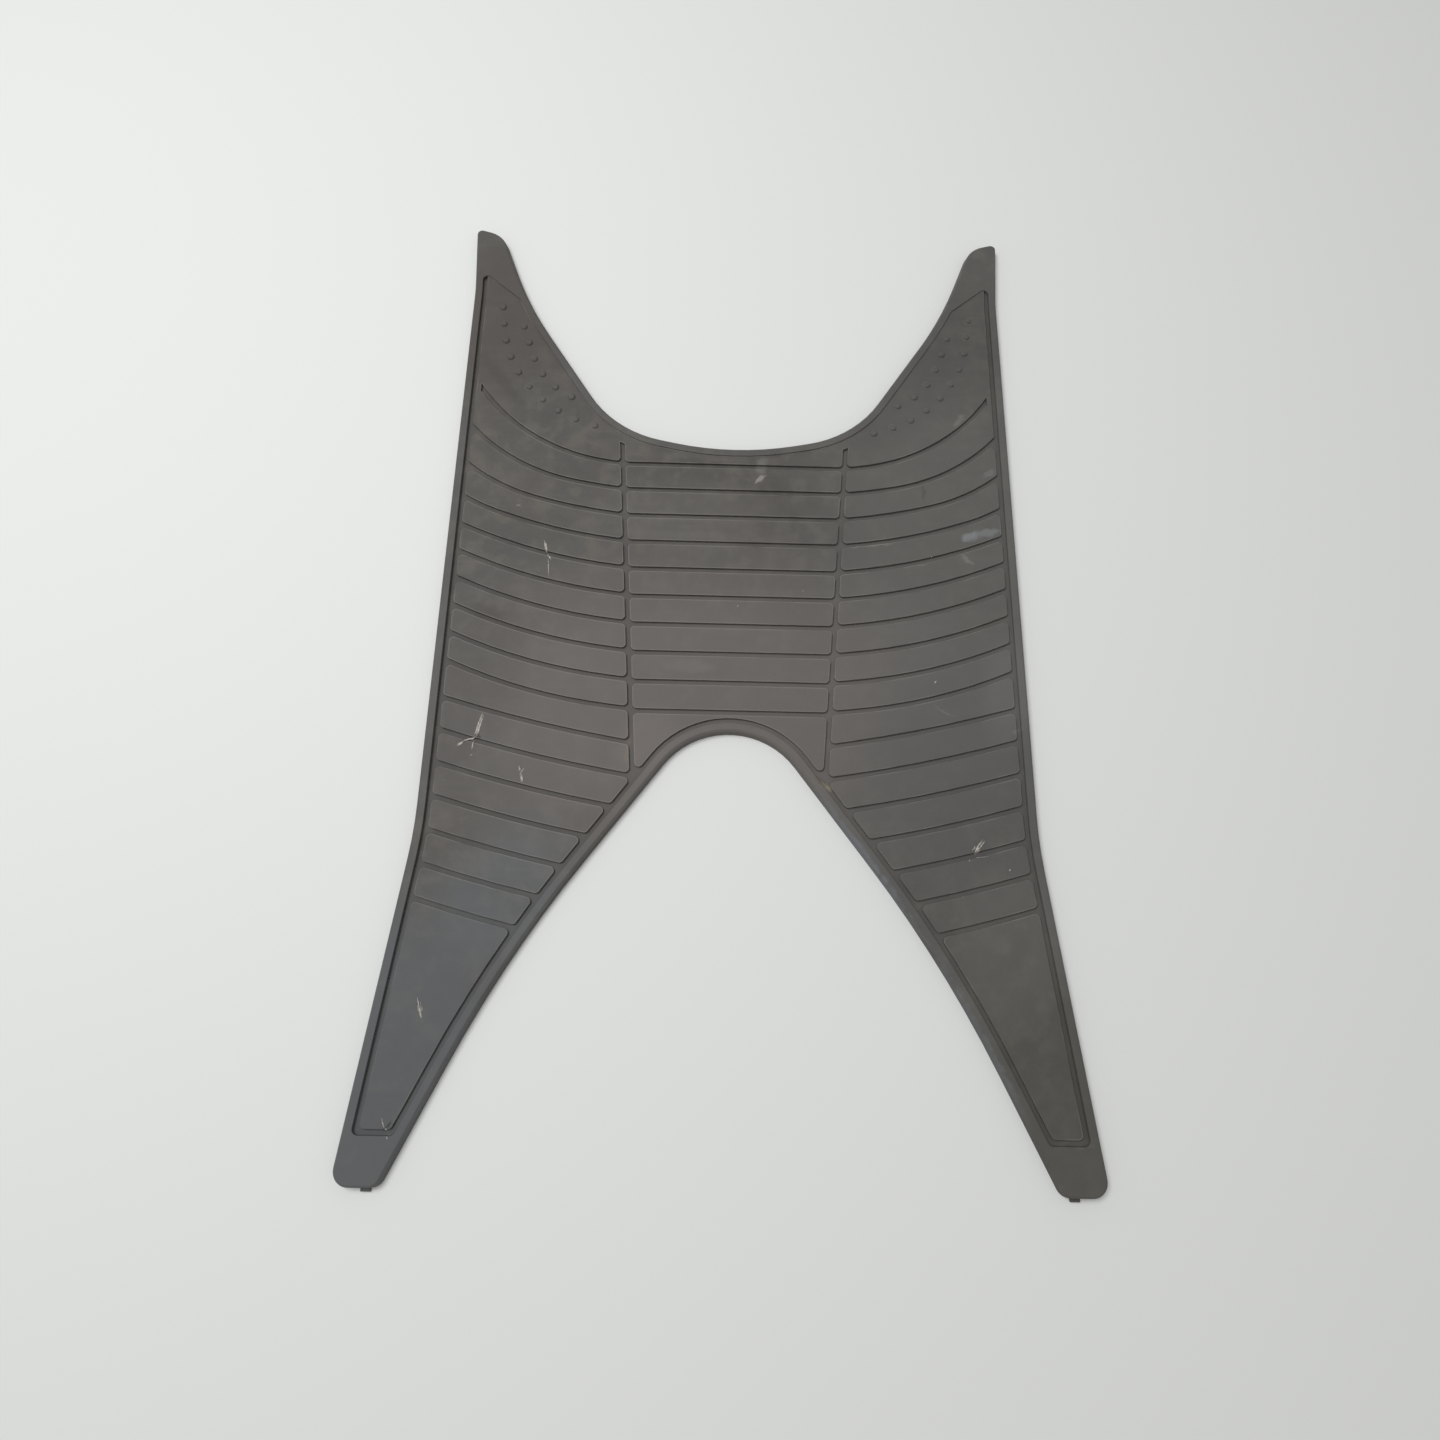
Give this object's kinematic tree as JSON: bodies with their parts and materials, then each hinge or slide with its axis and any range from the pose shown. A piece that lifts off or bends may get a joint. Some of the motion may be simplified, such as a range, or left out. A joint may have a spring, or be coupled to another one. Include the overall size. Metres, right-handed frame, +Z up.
{
  "type": "scooter floor mat",
  "caption": "Flat rubber floor mat for a scooter, with a raised rim, grooved tread pads, dotted horns that flank the steering tunnel and legs that flank the seat arch.",
  "frame": {"origin": "middle of the bounding box on the underside, which is the face that lies on the scooter's floor", "axes": "+Y to the front of the scooter, where the horns point, +X to the rider's right and +Z up out of the tread"},
  "size_m": [0.3942, 0.5944, 0.0062],
  "materials": {
    "rubber": "worn dark grey moulded rubber, dull with a faint sheen"
  },
  "bodies": {
    "root": {"floor_mat": "rubber"}
  },
  "joints": []
}
